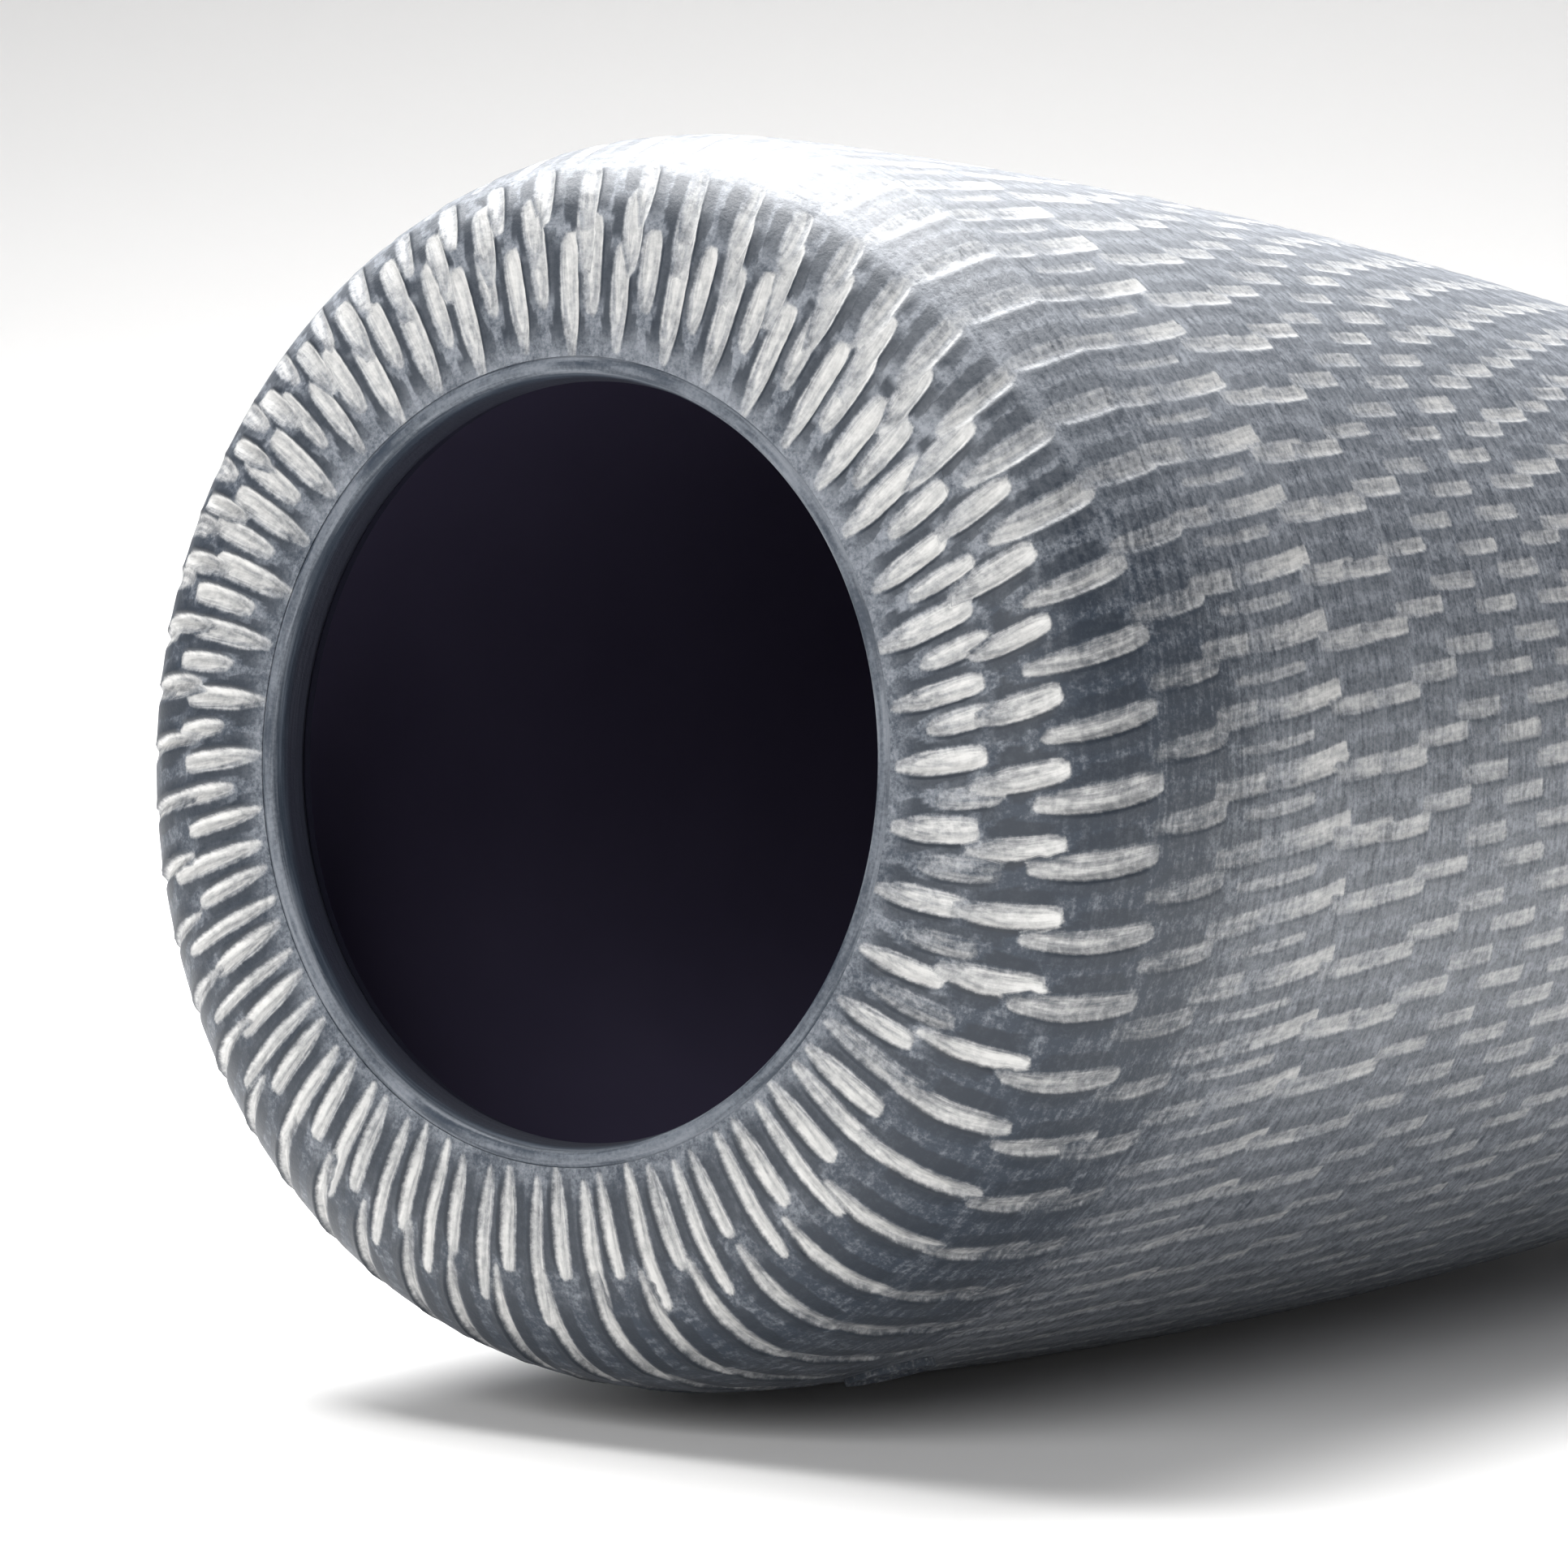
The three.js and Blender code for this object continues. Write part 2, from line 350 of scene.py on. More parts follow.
def carve_row(row, chance, s, r, degrees):
    """What one row does at points of the wall near it.

    Takes the points' distances along the outline, radii and angles. Gives, for each point, how
    far it is inside its mark and above that mark's lower edge, how deep the cut is there, how high
    the burr outside it is, how pale the clay, and how much of the mark's full depth there is.
    """
    aside, early, late, broad, shade = chance.uniform(-1, 1, (5, row.marks))
    pitch = 360 / row.marks
    start, end = reach(row, degrees)
    half_turn = np.degrees(row.width / r) / 2
    line = row.lean((s - start) / (end - start))
    k = np.rint((degrees - row.place - line - half_turn) / pitch).astype(int)
    mark = k % row.marks

    # The mark's outline, which tapers at its start.
    start = start + row.start_scatter * early[mark]
    end = end + row.end_scatter * late[mark]
    along = (s - start) / (end - start)
    line = row.place + row.lean(along) + k * pitch
    above = np.radians(degrees - line) * r - 0.25 * aside[mark]
    shape = np.clip(1 - np.abs(2 * along - 1) ** row.corner, 0, None) ** (1 / row.corner)
    shape = shape * (row.point + (1 - row.point) * ramp(along / 0.45))
    under_side = ramp((-degrees - 20) / 30)
    width = row.width * (1 + 0.14 * broad[mark]) * (1 - 0.2 * under_side)
    from_low = above - 0.3 * width * (1 - shape)
    from_high = width * (1 - 0.7 * (1 - shape)) - above
    inside = np.minimum(np.minimum(from_low, from_high), np.minimum(s - start, end - s))

    # Its hollow, deepest near the lower edge, and the burr that the blade pushes up below it.
    across = np.clip(from_low / np.maximum(from_low + from_high, 0.1), 0, 1)
    scoop = ramp((1 - across) / 0.75) * ramp(across / 0.2)
    swing = ramp(along / 0.3) * ramp((1 - along) / row.runout)
    deep = row.deep * (1 + 0.25 * shade[mark])
    below = np.clip(-from_low, 0, None)
    burr = ramp(below / 0.25) * np.exp(-below / 0.7) * swing

    # The clay that shows, less where the row was nearly missed. It is also less on the pot's lower side,
    # which faces the floor: painted shade.
    strength = (row.faint + (row.bright - row.faint) * ramp(along * 1.15)) * (1 + 0.12 * shade[mark])
    strength = strength * ramp((from_high + 0.3) / (row.fade * width))
    strength = strength * (1 - 0.45 * under_side * ramp((s - 15) / 14))
    if row.lost:
        missed = 0.75 * ramp((degrees - row.lost[0]) / 12) * ramp((row.lost[1] - degrees) / 8)
        strength = strength * (1 - missed)
    return inside, from_low, deep * scoop * swing, 0.55 * deep * burr, strength, swing


def carve(arc, turn, radius):
    """What chatter carving does at points of the wall.

    Takes distances along the outline, angles up from the near side and radii. Gives the height
    that the surface moves, the distance inside the nearest cut, the distance above its lower
    edge, how pale the clay there is, less on the lower side as painted shade, and how strong the
    dark slip pooled below the mark and the painted shading round it are.
    """
    height, pale, pool_and_shading = np.zeros((3, len(arc)))
    cut = np.full(len(arc), NO_CUT)
    low = np.full(len(arc), NO_EDGE)
    drifted = arc + DRIFT * ramp((arc - 4) / 60) * np.sin(turn)
    for number, row in enumerate(ROWS):
        chance = np.random.default_rng(FIRST_SEED + number)
        first, last = row.span()
        near = np.nonzero((drifted > first) & (drifted < last))[0]
        if not len(near):
            continue
        inside, from_low, depth, burr, strength, swing = carve_row(
            row, chance, drifted[near], radius[near], np.degrees(turn[near]))
        dug = inside > 0
        take = dug | (inside > cut[near])
        h = height[near]
        h = np.where(dug, np.minimum(h, -depth), h)
        height[near] = np.where(dug | (from_low >= 0), h, h + burr)
        pale[near] = np.where(take, strength, pale[near])
        low[near] = np.where(take, from_low, low[near])
        # How strong the dark pooled slip and the painted shadow and highlight round this mark are.
        pool_and_shading[near] = np.where(take, swing * min(1, 0.10 + 1.5 * row.deep), pool_and_shading[near])
        cut[near] = np.maximum(cut[near], inside)
    return height, cut, np.clip(low, NO_EDGE, -NO_EDGE), pale, pool_and_shading


def seal_clearing(arc, turn, radius):
    """1 away from the maker's seal and 0 under it, where the wall was smoothed for it."""
    away = np.hypot(arc - arc_at(SEAL_DEPTH), (turn - math.radians(SEAL_TURN)) * radius)
    return ramp((away - SEAL_CLEARING) / SEAL_FADE)


def carved_wall(name, start, end, spacing, heel=()):
    """A section of the wall between two depths: a finely thrown outside, carved, and a plain inside."""
    arcs = np.linspace(arc_at(start), arc_at(end), int((arc_at(end) - arc_at(start)) / spacing))
    outer = list(zip(*outline(arcs)))
    inner_arcs = np.linspace(arcs[0], arcs[-1], INNER_ROWS)[1:-1]
    inner = [level(end, WALL)]
    inner += list(zip(*outline(inner_arcs[::-1], WALL)))
    inner += [level(start, WALL) if start > 0 else (SHOULDER_TOP, WALL)]
    profile = outer + list(heel) + inner
    marks = np.concatenate([arcs, np.full(len(heel) + len(inner), -1.0)])
    wall = turned(name, profile, WALL_SIDES, marks)
    carve_wall(wall)
    return wall


def carve_wall(wall):
    """Moves the outside of a wall section in and out where the marks are, and keeps what they show."""
    mesh = wall.data
    points = np.zeros(len(mesh.vertices) * 3)
    mesh.vertices.foreach_get("co", points)
    points = points.reshape(-1, 3)
    arc = np.zeros(len(points))
    mesh.attributes["arc"].data.foreach_get("value", arc)
    outside = arc >= 0
    turn = np.arctan2(-points[outside, 1], points[outside, 0])
    radius, depth = outline(arc[outside])
    height, cut, low, pale, pool_and_shading = carve(arc[outside], turn, radius)
    clear = seal_clearing(arc[outside], turn, radius)
    low_radius, low_depth = outline(arc[outside], 1.0)
    out = np.stack([radius - low_radius, depth - low_depth])
    height = height * clear + throwing(arc[outside], turn)
    radius, depth = radius + out[0] * height, depth + out[1] * height
    points[outside] = np.stack([radius * np.cos(turn), -radius * np.sin(turn), depth], 1)
    mesh.vertices.foreach_set("co", points.ravel())
    keep(mesh, "cut", outside, np.where(clear > 0.5, cut, NO_CUT), NO_CUT)
    keep(mesh, "low", outside, low, NO_EDGE)
    keep(mesh, "pale", outside, pale * clear, 0.0)
    keep(mesh, "pool_and_shading", outside, pool_and_shading * clear, 0.0)
    keep(mesh, "wash_and_sheen", outside, wash_and_sheen(arc[outside], np.degrees(turn)), 0.0)
    mesh.update()


def wash_and_sheen(arc, degrees):
    """How thickly the pale wash was brushed over the slip: thin on the shoulder, thick above it.
    Paler still on the pot's upper side towards the mouth, partly scumble and partly painted sheen.
    """
    shoulder = ramp((arc - 9) / 10) * ramp((58 - arc) / 18)
    # Paler on the pot's upper side as it lies, towards the mouth: partly scumble, partly painted sheen.
    above = ramp((degrees - 6) / 30) * ramp((165 - degrees) / 40)
    body = ramp((arc - 40) / 25)
    return 0.10 * body - 0.19 * shoulder * (1 - above) + 0.12 * above * ramp((90 - arc) / 50)


def keep(mesh, name, where, values, elsewhere):
    """Stores a number for each vertex, for the material to read."""
    every = np.full(len(mesh.vertices), elsewhere)
    every[where] = values
    mesh.attributes.new(name, "FLOAT", "POINT").data.foreach_set("value", every)


def throwing(arc, turn):
    """The slight unevenness that throwing leaves in the wall, in millimetres."""
    fade = ramp(arc / 12)
    rings = 0.05 * np.sin(arc / 3.1 + 1.2 * np.sin(turn)) + 0.04 * np.sin(arc / 1.3 + np.sin(2 * turn))
    return fade * (rings + 0.08 * np.sin(2 * turn + arc / 60))


# --------------------------------------------------------------------------- the other pieces

def rounded(points, steps=6):
    """A smooth line through a few points: each stretch is a cubic that its neighbours steer."""
    p = np.array(points, float)
    p = np.vstack([2 * p[0] - p[1], p, 2 * p[-1] - p[-2]])
    out = []
    for a, b, c, d in zip(p[:-3], p[1:-2], p[2:-1], p[3:]):
        for t in np.arange(steps) / steps:
            out.append(0.5 * (2 * b + (c - a) * t + (2 * a - 5 * b + 4 * c - d) * t ** 2
                              + (3 * b - a - 3 * c + d) * t ** 3))
    out.append(p[-2])
    return [tuple(map(float, q)) for q in out]


def lip_ring():
    """The trimmed lip: a soft roll, a narrow band that leans in to the throat, and a flat underside."""
    roll = rounded([
        (SHOULDER_TOP, 0.16), (SHOULDER_TOP - 0.5, -0.1), (46.7, -0.22), (46.0, 0.05), (45.6, 0.9),
        (45.35, 2.2), (45.1, 3.6), (THROAT_RADIUS + 0.05, 4.4), (45.35, WALL - 0.1),
    ], 8)
    return turned("lip_ring_turned", roll + [(46.4, WALL), (SHOULDER_TOP, WALL)], 480)


def liner():
    """The glaze that lines the pot, from behind the lip to the middle of the floor."""
    floor = BODY_END - BASE_THICKNESS - LINER_GAP
    last = arc_at(floor)

    def face(inset, depth):
        arcs = np.concatenate([np.linspace(0.5, 60, 30), np.linspace(66, last - 4, 18)])
        wall = list(zip(*outline(arcs, inset)))
        corner = level(depth - 4, inset)[0]
        return [(THROAT_RADIUS + 0.5, inset)] + wall + rounded([
            (corner, depth - 4), (corner - 1.4, depth - 1.3), (corner - 5, depth),
        ], 4) + [(corner / 2, depth), (0.0, depth)]

    outer = face(WALL + LINER_GAP, floor)
    inner = face(WALL + LINER_GAP + GLAZE, floor - GLAZE)
    return turned("liner_glazed", outer[::-1] + inner, 160)


def base_disc():
    """The underside of the floor: turned slightly hollow, with the rings that the turning tool left."""
    radii = np.linspace(0, 55, 140)
    ripple = 0.14 * np.cos(radii / 0.42) * ramp(radii / 6) - 0.9 * (1 - (radii / 55) ** 2)
    under = [(float(r), BODY_END + float(h) - 0.1) for r, h in zip(radii, ripple)]
    top = BODY_END - BASE_THICKNESS
    edge = [level(BODY_END - 0.1, WALL + 0.05), level(top, WALL + 0.05)]
    return turned("base_turned", under + edge + [(0.0, top)], 240)


def foot_ring():
    """The turned foot: slanted sides, eased edges and a flat that was wiped clean of slip."""
    inside = FOOT_RADIUS - FOOT_WIDTH
    flat = rounded([
        (FOOT_RADIUS + 1.2, BODY_END), (FOOT_RADIUS + 0.5, BODY_END + 2.6),
        (FOOT_RADIUS + 0.1, LENGTH - 1.2), (FOOT_RADIUS - 0.9, LENGTH - 0.05),
        (FOOT_RADIUS - 2.4, LENGTH), (inside + 2.4, LENGTH), (inside + 0.9, LENGTH - 0.05),
        (inside - 0.1, LENGTH - 1.2), (inside - 0.6, BODY_END + 2.4), (inside - 1.6, BODY_END),
    ], 5)
    return turned("foot_turned", flat, 360)


def heel_curve():
    """The rounded heel of the body, from the taper in to the foot ring."""
    radius = float(wall_radius(BODY_END - HEEL))
    angles = np.radians([15, 30, 45, 60, 75, 90])
    return [(radius - HEEL * (1 - math.cos(a)) - 0.3 * math.sin(a), BODY_END - HEEL * (1 - math.sin(a)))
            for a in angles]


def makers_seal():
    """A plain round pad of clay pressed on to the wall, with a raised ring and a dot inside."""
    bpy.ops.mesh.primitive_cylinder_add(vertices=72, radius=SEAL_RADIUS, depth=SEAL_THICKNESS,
                                        location=(0, 0, SEAL_LIFT))
    seal = bpy.context.object
    seal.name = seal.data.name = "makers_seal_pressed"
    only(seal)
    bpy.ops.object.mode_set(mode="EDIT")
    bpy.ops.mesh.select_mode(type="FACE")
    pick_faces(seal, lambda face: face.normal.z > 0.9)
    bpy.ops.mesh.inset(thickness=0.5)
    # Inside the rim, from the outside in: each step is how far in and how far up.
    dish = [(0.35, -0.35), (0.9, 0.0)]
    ring = [(0.3, 0.3), (0.3, 0.0), (0.3, -0.3)]
    flat = [(1.5, 0.0)]
    dot = [(0.3, 0.3)]
    for inset, rise in dish + ring + flat + dot:
        bpy.ops.mesh.inset(thickness=inset)
        bpy.ops.transform.translate(value=(0, 0, rise))
    bpy.ops.object.mode_set(mode="OBJECT")
    soften(seal, 0.18)
    return seal


def pick_faces(obj, wanted):
    """Selects the faces that wanted says yes to, in edit mode."""
    bpy.ops.object.mode_set(mode="OBJECT")
    for vertex in obj.data.vertices:
        vertex.select = False
    for edge in obj.data.edges:
        edge.select = False
    for face in obj.data.polygons:
        face.select = wanted(face)
    bpy.ops.object.mode_set(mode="EDIT")


def soften(obj, width):
    """Rounds a piece's edges with an applied bevel."""
    only(obj)
    bevel = obj.modifiers.new("ease", "BEVEL")
    bevel.width, bevel.segments, bevel.limit_method = width, 3, "ANGLE"
    bpy.ops.object.modifier_apply(modifier=bevel.name)


def seal_matrix():
    """Where the seal sits on the wall, in the pot's upright frame."""
    turn = math.radians(SEAL_TURN)
    arc = arc_at(SEAL_DEPTH)
    radius, depth = map(float, outline(arc))
    inner_radius, inner_depth = map(float, outline(arc, 1.0))
    out = Vector(((radius - inner_radius) * math.cos(turn), -(radius - inner_radius) * math.sin(turn),
                  depth - inner_depth)).normalized()
    place = Vector((radius * math.cos(turn), -radius * math.sin(turn), depth))
    return Matrix.Translation(place) @ out.to_track_quat("Z", "Y").to_matrix().to_4x4()


# --------------------------------------------------------------------------- materials

class Wire:
    """The output of a shader node, which takes part in sums as a number does."""

    def __init__(self, finish, socket):
        self.finish, self.socket = finish, socket

    def maths(self, operation, first, second=0.0):
        return self.finish.node("ShaderNodeMath", {"operation": operation}, {0: first, 1: second})

    def __add__(self, other):
        return self.maths("ADD", self, other)

    def __sub__(self, other):
        return self.maths("SUBTRACT", self, other)

    def __rsub__(self, other):
        return self.maths("SUBTRACT", other, self)

    def __mul__(self, other):
        return self.maths("MULTIPLY", self, other)

    __radd__, __rmul__ = __add__, __mul__


class Finish:
    """A material being made: one Principled shader, and the nodes that feed it."""

    def __init__(self, name):
        self.material = bpy.data.materials.new(name)
        self.material.use_nodes = True
        self.tree = self.material.node_tree
        self.shader = self.tree.nodes["Principled BSDF"]

    def node(self, kind, settings, inputs, output=None):
        """Adds a node: its settings first, then the values or links of its sockets."""
        node = self.tree.nodes.new(kind)
        for key, value in settings.items():
            setattr(node, key, value)
        for key, value in inputs.items():
            self.feed(node.inputs[key], value)
        if output is None:
            socket = next(s for s in node.outputs if s.enabled)
        else:
            socket = node.outputs[output]
        return Wire(self, socket)

    def feed(self, socket, value):
        """Links a wire to a socket, or sets the socket to a plain value."""
        if isinstance(value, Wire):
            self.tree.links.new(value.socket, socket)
        else:
            socket.default_value = value

    def step(self, value, low, high):
        """0 where value is below low, 1 above high, and smooth between."""
        return self.node("ShaderNodeMapRange", {"interpolation_type": "SMOOTHSTEP"},
                         {"Value": value, "From Min": low, "From Max": high}, "Result")

    def noise(self, place, scale, detail=3.0, roughness=0.55):
        return self.node("ShaderNodeTexNoise", {},
                         {"Vector": place, "Scale": scale, "Detail": detail, "Roughness": roughness},
                         "Fac")

    def stretched(self, place, around, along):
        """Places scaled one way round the pot and another along its axis."""
        return self.node("ShaderNodeVectorMath", {"operation": "MULTIPLY"},
                         {0: place, 1: (around, around, along)}, "Vector")

    def blend(self, share, first, second):
        return self.node("ShaderNodeMix", {"data_type": "RGBA"},
                         {"Factor": share, "A": first, "B": second}, 2)

    def number(self, name):
        """A number that the mesh's vertices hold."""
        return self.node("ShaderNodeAttribute", {"attribute_name": name}, {}, "Fac")

    def pot_place(self):
        """Places in the pot's own upright frame, in metres, whatever way the pot lies."""
        turn = LAY.to_euler()
        coordinates = self.node("ShaderNodeTexCoord", {}, {}, "Object")
        return self.node("ShaderNodeMapping", {"vector_type": "TEXTURE"},
                         {"Vector": coordinates, "Location": LAY.translation, "Rotation": turn})

    def bump(self, height, strength=1.0):
        """A surface normal from a height in millimetres."""
        return self.node("ShaderNodeBump", {}, {"Height": height, "Strength": strength,
                                                "Distance": MM}, "Normal")


def grey(level_value, blue=0.0):
    """A grey of a given brightness, bluer the higher blue is."""
    return (level_value * (1 - blue), level_value, level_value * (1 + blue * 1.6), 1.0)


def carved_slip_finish():
    """Slate slip, scumbled pale along fine brushed rings and cut through to light clay.
    Painted shadow lies below each mark, a painted highlight along its lower edge and a painted sheen on
    the pot's upper side.
    """
    f = Finish("carved_slip_finish")
    place = f.pot_place()
    cut, low, pale, pool_and_shading, wash_and_sheen = (f.number(name) for name in ("cut", "low", "pale", "pool_and_shading", "wash_and_sheen"))
    grain = f.noise(place, 2600.0, 2.0, 0.6)
    speck = f.noise(place, 1000.0, 5.0, 0.7)
    brushed = f.noise(f.stretched(place, 150.0, 1300.0), 1.0, 4.0, 0.6)
    cloud = f.noise(place, 55.0, 4.0, 0.6)
    inside = f.step(cut + (speck - 0.5) * 0.3 + (grain - 0.5) * 0.15, -0.12, 0.36)
    patch = f.noise(place, 260.0, 3.0, 0.6)
    along = f.node("ShaderNodeCombineXYZ", {},
                   {"X": low * 1.3, "Y": f.number("arc") * 0.11, "Z": pale * 4.0})
    scrape = f.noise(along, 1.0, 3.0, 0.6)
    streaks = (scrape - 0.5) * (0.3 + pool_and_shading * 0.9)
    cover = pale + streaks + (speck - 0.5) * 0.6 + (brushed - 0.5) * 0.4 + (patch - 0.5) * 0.6
    clay = inside * f.step(cover, -0.15, 1.08)
    below = 0 - low
    # Painted shadow below each mark's lower edge: a thin dark line where the burr casts shade, and a
    # wider band of shade below it.
    line = f.step(below, -0.05, 0.08) * (1 - f.step(below, 0.3, 0.8)) * (1 - inside)
    shade = (1 - f.step(below, 0.4, 3.4)) * (1 - inside)
    # The painted shadow, as strong as the mark; part of its darkness stands for dark slip pooled below
    # the mark.
    under = f.node("ShaderNodeMath", {"operation": "MAXIMUM"}, {0: line, 1: shade * 0.75}) * pool_and_shading
    # The wash value also brings the painted sheen of the pot's upper side into the pale scumble.
    scumble_and_sheen_level = wash_and_sheen + speck + grain * 0.5 + brushed * 0.8 + cloud * 0.15
    scumble_and_sheen = f.step(scumble_and_sheen_level, 0.92, 1.66) * (1 - under * 0.85)
    slip = f.blend(scumble_and_sheen, grey(0.034, 0.30), grey(0.26, 0.07))
    # The slip goes near-black in the painted shadow below the marks.
    slip = f.blend(under * 0.9, slip, grey(0.016, 0.34))
    # Painted highlight: paler clay along each mark's lower edge, where its flank faces up to the light.
    edge = inside * (1 - f.step(low, 0.2, 0.6))
    flecks = f.step(speck * 0.4 + scrape * 0.8, 0.42, 0.78)
    bare = f.blend(flecks, (0.41, 0.41, 0.405, 1.0), (0.60, 0.595, 0.58, 1.0))
    bare = f.blend(edge * pool_and_shading * 0.7, bare, (0.74, 0.73, 0.71, 1.0))
    f.feed(f.shader.inputs["Base Color"], f.blend(clay, slip, bare))
    f.feed(f.shader.inputs["Roughness"], 0.46 + grain * 0.14 - scumble_and_sheen * 0.04)
    height = grain * 0.05 + speck * 0.05 + brushed * 0.03
    f.feed(f.shader.inputs["Normal"], f.bump(height, 0.8))
    f.shader.inputs["Specular IOR Level"].default_value = 0.5
    return f.material


def lip_finish():
    """Dark blue-grey slip, rubbed pale on the roll of the lip."""
    f = Finish("lip_finish")
    place = f.pot_place()
    depth = f.node("ShaderNodeSeparateXYZ", {}, {0: place}, "Z") * (1 / MM)
    brushed = f.noise(f.stretched(place, 70.0, 2600.0), 1.0, 4.0, 0.6)
    grain = f.noise(place, 2200.0, 3.0, 0.6)
    top = 1 - f.step(depth + (grain - 0.5) * 0.8, -0.1, 1.2)
    rubbed = top * f.step(grain * 0.3 + brushed, 0.45, 0.9)
    streak = f.step(brushed + grain * 0.3, 0.55, 0.85)
    slip = f.blend(streak * 0.7, grey(0.03, 0.35), grey(0.10, 0.2))
    slip = f.blend(rubbed * 0.6, slip, grey(0.26, 0.06))
    inner = f.step(depth + (grain - 0.5) * 0.8, 0.6, 2.4)
    f.feed(f.shader.inputs["Base Color"], f.blend(inner * 0.85, slip, (0.012, 0.012, 0.022, 1.0)))
    f.feed(f.shader.inputs["Roughness"], 0.5 + grain * 0.15)
    f.feed(f.shader.inputs["Normal"], f.bump(grain * 0.05 + brushed * 0.06, 0.8))
    return f.material


def liner_finish():
    """Black satin glaze with a faint unevenness, darkened near the mouth as painted shade."""
    f = Finish("liner_finish")
    place = f.pot_place()
    pooling = f.noise(place, 60.0, 3.0, 0.5)
    depth = f.node("ShaderNodeSeparateXYZ", {}, {0: place}, "Z") * (1 / MM)
    glaze = f.blend(pooling, (0.060, 0.052, 0.092, 1.0), (0.078, 0.068, 0.116, 1.0))
    # Painted shade: the lining goes near-black near the mouth, where it would catch light.
    thin_and_shaded = 1 - f.step(depth, 6.0, 16.0)
    f.feed(f.shader.inputs["Base Color"], f.blend(thin_and_shaded, glaze, (0.012, 0.012, 0.022, 1.0)))
    f.feed(f.shader.inputs["Roughness"], 0.5 + pooling * 0.2)
    f.shader.inputs["Specular IOR Level"].default_value = 0.15
    return f.material


def base_finish():
    """Slip wiped thin over the turning rings of the base."""
    f = Finish("base_finish")
    place = f.pot_place()
    grain = f.noise(place, 1800.0, 4.0, 0.6)
    cloud = f.noise(place, 45.0, 4.0, 0.6)
    thin_and_shaded = f.step(cloud * 0.7 + grain * 0.5, 0.5, 0.8)
    f.feed(f.shader.inputs["Base Color"], f.blend(thin_and_shaded, grey(0.06, 0.18), grey(0.22, 0.05)))
    f.feed(f.shader.inputs["Roughness"], 0.7 + grain * 0.15)
    f.feed(f.shader.inputs["Normal"], f.bump(grain * 0.12, 0.8))
    return f.material


def bare_clay_finish():
    """Fired clay, wiped clean, with iron specks."""
    f = Finish("bare_clay_finish")
    place = f.pot_place()
    grain = f.noise(place, 1500.0, 4.0, 0.65)
    iron = f.step(f.noise(place, 1100.0, 1.0, 0.4), 0.70, 0.76)
    body = f.blend(grain, (0.30, 0.29, 0.26, 1.0), (0.52, 0.50, 0.46, 1.0))
    f.feed(f.shader.inputs["Base Color"], f.blend(iron * 0.7, body, (0.10, 0.07, 0.05, 1.0)))
    f.feed(f.shader.inputs["Roughness"], 0.75 + grain * 0.15)
    f.feed(f.shader.inputs["Normal"], f.bump(grain * 0.12, 0.8))
    return f.material


def seal_finish():
    """Slip over the pressed pad, rubbed pale where it stands proud."""
    f = Finish("seal_finish")
    place = f.pot_place()
    grain = f.noise(place, 2200.0, 3.0, 0.6)
    speck = f.noise(place, 800.0, 3.0, 0.6)
    worn = f.step(grain * 0.5 + speck * 0.6, 0.5, 0.8)
    f.feed(f.shader.inputs["Base Color"], f.blend(worn, grey(0.06, 0.2), grey(0.30, 0.04)))
    f.feed(f.shader.inputs["Roughness"], 0.65 + grain * 0.15)
    f.feed(f.shader.inputs["Normal"], f.bump(grain * 0.08, 0.8))
    return f.material


# --------------------------------------------------------------------------- studio

def camera():
    """A long lens that looks nearly level at the mouth, from well to one side of the pot's axis."""
    turn, rise = math.radians(CAMERA_TURN), math.radians(CAMERA_RISE)
    forward = Vector((math.cos(rise) * math.cos(turn), math.cos(rise) * math.sin(turn), -math.sin(rise)))
    right = Vector((math.sin(turn), -math.cos(turn), 0))
    up = right.cross(forward)
    mouth = LAY.translation
    away = forward * CAMERA_DISTANCE - right * CAMERA_ASIDE + up * CAMERA_BELOW
    data = bpy.data.cameras.new("studio_camera")
    data.lens, data.sensor_width = CAMERA_LENS, CAMERA_SENSOR
    data.clip_start, data.clip_end = 0.01, 50.0
    obj = bpy.data.objects.new("studio_camera", data)
    bpy.context.scene.collection.objects.link(obj)
    obj.matrix_world = Matrix((right, up, -forward)).transposed().to_4x4()
    obj.location = mouth - away * MM
    bpy.context.scene.camera = obj


def floor_finish():
    """Matt white paper."""
    f = Finish("studio_white")
    f.shader.inputs["Base Color"].default_value = (0.77, 0.765, 0.76, 1.0)
    f.shader.inputs["Roughness"].default_value = 0.9
    f.shader.inputs["Specular IOR Level"].default_value = 0.1
    return f.material


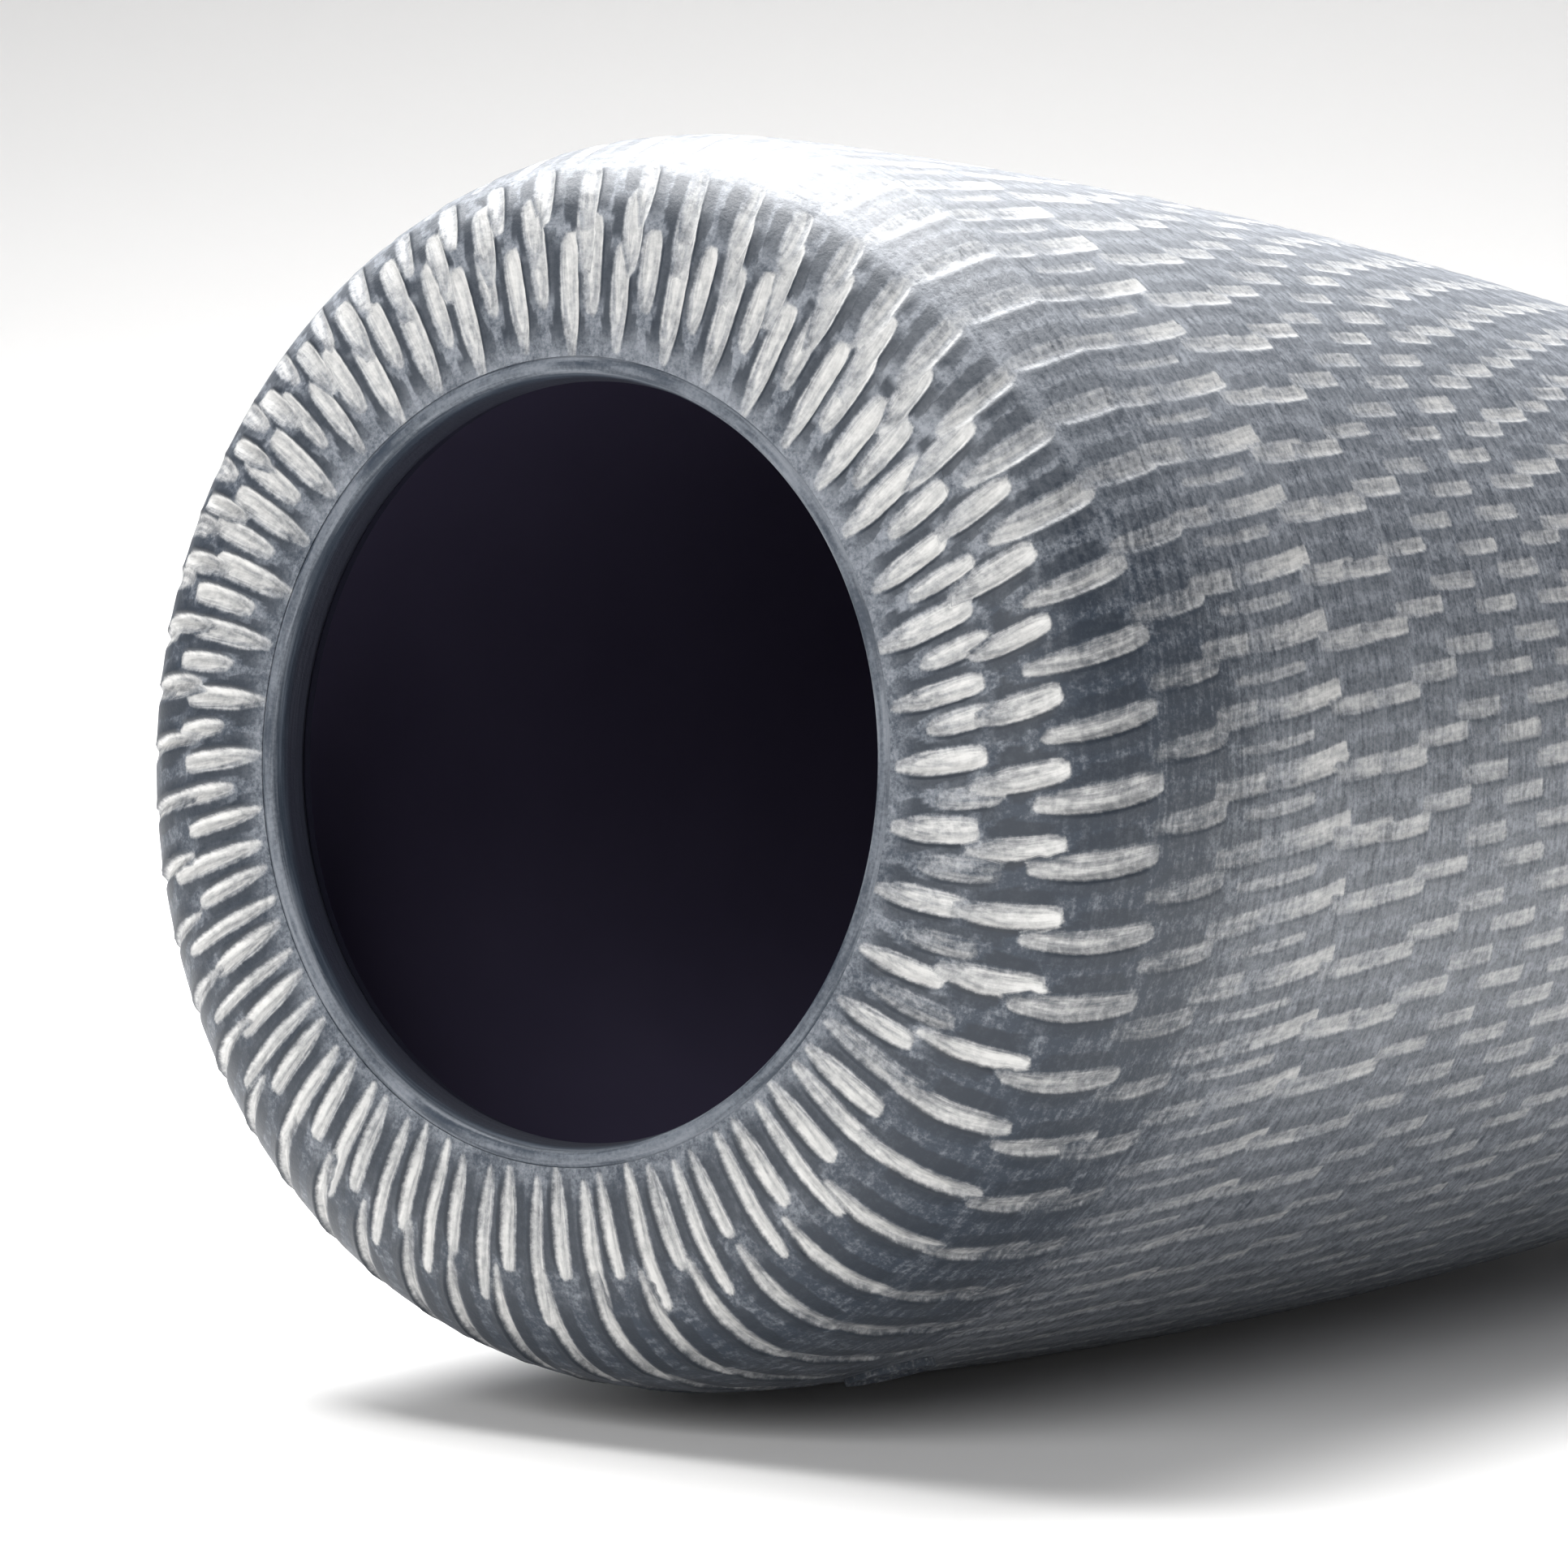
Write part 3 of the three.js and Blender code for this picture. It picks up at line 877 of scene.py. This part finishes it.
def studio_floor(low):
    """A pale sweep: a floor that curves up into a wall well behind the pot."""
    turn = math.radians(CAMERA_TURN)
    ahead = Vector((math.cos(turn), math.sin(turn), 0))
    centre = Vector((0, 0, low)) - ahead * (SWEEP_SIZE / 2 - SWEEP_BEHIND)
    bpy.ops.mesh.primitive_plane_add(size=SWEEP_SIZE, location=centre, rotation=(0, 0, turn))
    sweep = bpy.context.object
    sweep.name = "studio_sweep"
    only(sweep)
    bpy.ops.object.transform_apply(location=True, rotation=True, scale=True)
    bpy.ops.object.mode_set(mode="EDIT")
    bpy.ops.mesh.select_mode(type="EDGE")
    bpy.ops.mesh.select_all(action="DESELECT")
    bpy.ops.object.mode_set(mode="OBJECT")
    for edge in sweep.data.edges:
        ends = [sweep.data.vertices[v].co.dot(ahead) for v in edge.vertices]
        edge.select = min(ends) > 0
    bpy.ops.object.mode_set(mode="EDIT")
    for number in range(SWEEP_STEPS):
        rise = math.radians(90 / SWEEP_STEPS * (number + 0.5))
        up = Vector((0, 0, SWEEP_STRIDE * math.sin(rise)))
        bpy.ops.mesh.extrude_region_move(TRANSFORM_OT_translate={
            "value": ahead * SWEEP_STRIDE * math.cos(rise) + up})
    bpy.ops.mesh.extrude_region_move(TRANSFORM_OT_translate={"value": (0, 0, SWEEP_WALL)})
    bpy.ops.mesh.select_all(action="SELECT")
    bpy.ops.mesh.normals_make_consistent(inside=False)
    bpy.ops.object.mode_set(mode="OBJECT")
    smooth(sweep)
    sweep.data.materials.append(floor_finish())
    sweep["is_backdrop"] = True


def softbox(name, place, aim, size, power):
    """A white rectangular lamp at place that faces aim. Metres and watts."""
    data = bpy.data.lights.new(name, "AREA")
    data.shape, data.size, data.size_y = "RECTANGLE", size[0], size[1]
    data.energy = power
    lamp = bpy.data.objects.new(name, data)
    bpy.context.scene.collection.objects.link(lamp)
    lamp.location = place
    lamp.rotation_euler = (Vector(aim) - Vector(place)).to_track_quat("-Z", "Y").to_euler()


def studio_light():
    """Softboxes: one overhead, a little behind the pot, one that lights the floor in front of it, one
    that faces the mouth and one for the backdrop."""
    softbox("overhead_softbox", (0.24, 0.34, 1.05), (0.08, 0.0, 0.05), (1.1, 0.9), 46.0)
    softbox("floor_softbox", (0.40, -0.85, 0.13), (0.40, -0.85, 0.0), (1.2, 0.7), 4.0)
    softbox("mouth_softbox", (-1.15, -0.25, 0.60), (-0.12, 0.0, 0.06), (0.8, 0.8), 11.0)
    softbox("backdrop_softbox", (0.2, 0.6, 1.9), (1.5, 1.1, 0.5), (2.0, 1.5), 10.5)
    world = bpy.data.worlds.new("studio_air")
    bpy.context.scene.world = world
    world.use_nodes = True
    background = world.node_tree.nodes["Background"]
    background.inputs["Color"].default_value = (0.97, 0.97, 1.0, 1.0)
    background.inputs["Strength"].default_value = 0.08
    bpy.context.scene.view_settings.view_transform = "Standard"


# --------------------------------------------------------------------------- putting it together

def place_piece(piece, node, material, matrix=Matrix.Identity(4), degrees=50):
    """Finishes a piece: lays it down, smooths it, paints it and ties it to the frame."""
    lay_down(piece, matrix)
    smooth(piece, degrees)
    piece.data.materials.clear()
    piece.data.materials.append(material)
    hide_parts(node)
    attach(piece, "root")


def build_pot():
    """Makes every piece of the pot and ties each to its frame node."""
    slip = carved_slip_finish()
    shoulder_joint, belly_joint, middle_joint = JOINTS
    walls = (
        ("shoulder_wall", carved_wall("shoulder_carved", 0.0, shoulder_joint, 0.85)),
        ("belly_wall", carved_wall("belly_carved", shoulder_joint, belly_joint, 0.6)),
        ("middle_wall", carved_wall("middle_carved", belly_joint, middle_joint, 0.9)),
        ("lower_wall", carved_wall("lower_carved", middle_joint, BODY_END - HEEL, 1.15, heel_curve())),
    )
    for node, wall in walls:
        place_piece(wall, node, slip, degrees=60)
    place_piece(lip_ring(), "lip_ring", lip_finish())
    place_piece(liner(), "liner_glaze", liner_finish())
    place_piece(base_disc(), "base_disc", base_finish())
    place_piece(foot_ring(), "foot_ring", bare_clay_finish())
    place_piece(makers_seal(), "makers_seal", seal_finish(), seal_matrix())


camera()
build_pot()
studio_light()
studio_floor(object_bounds()[0][2])
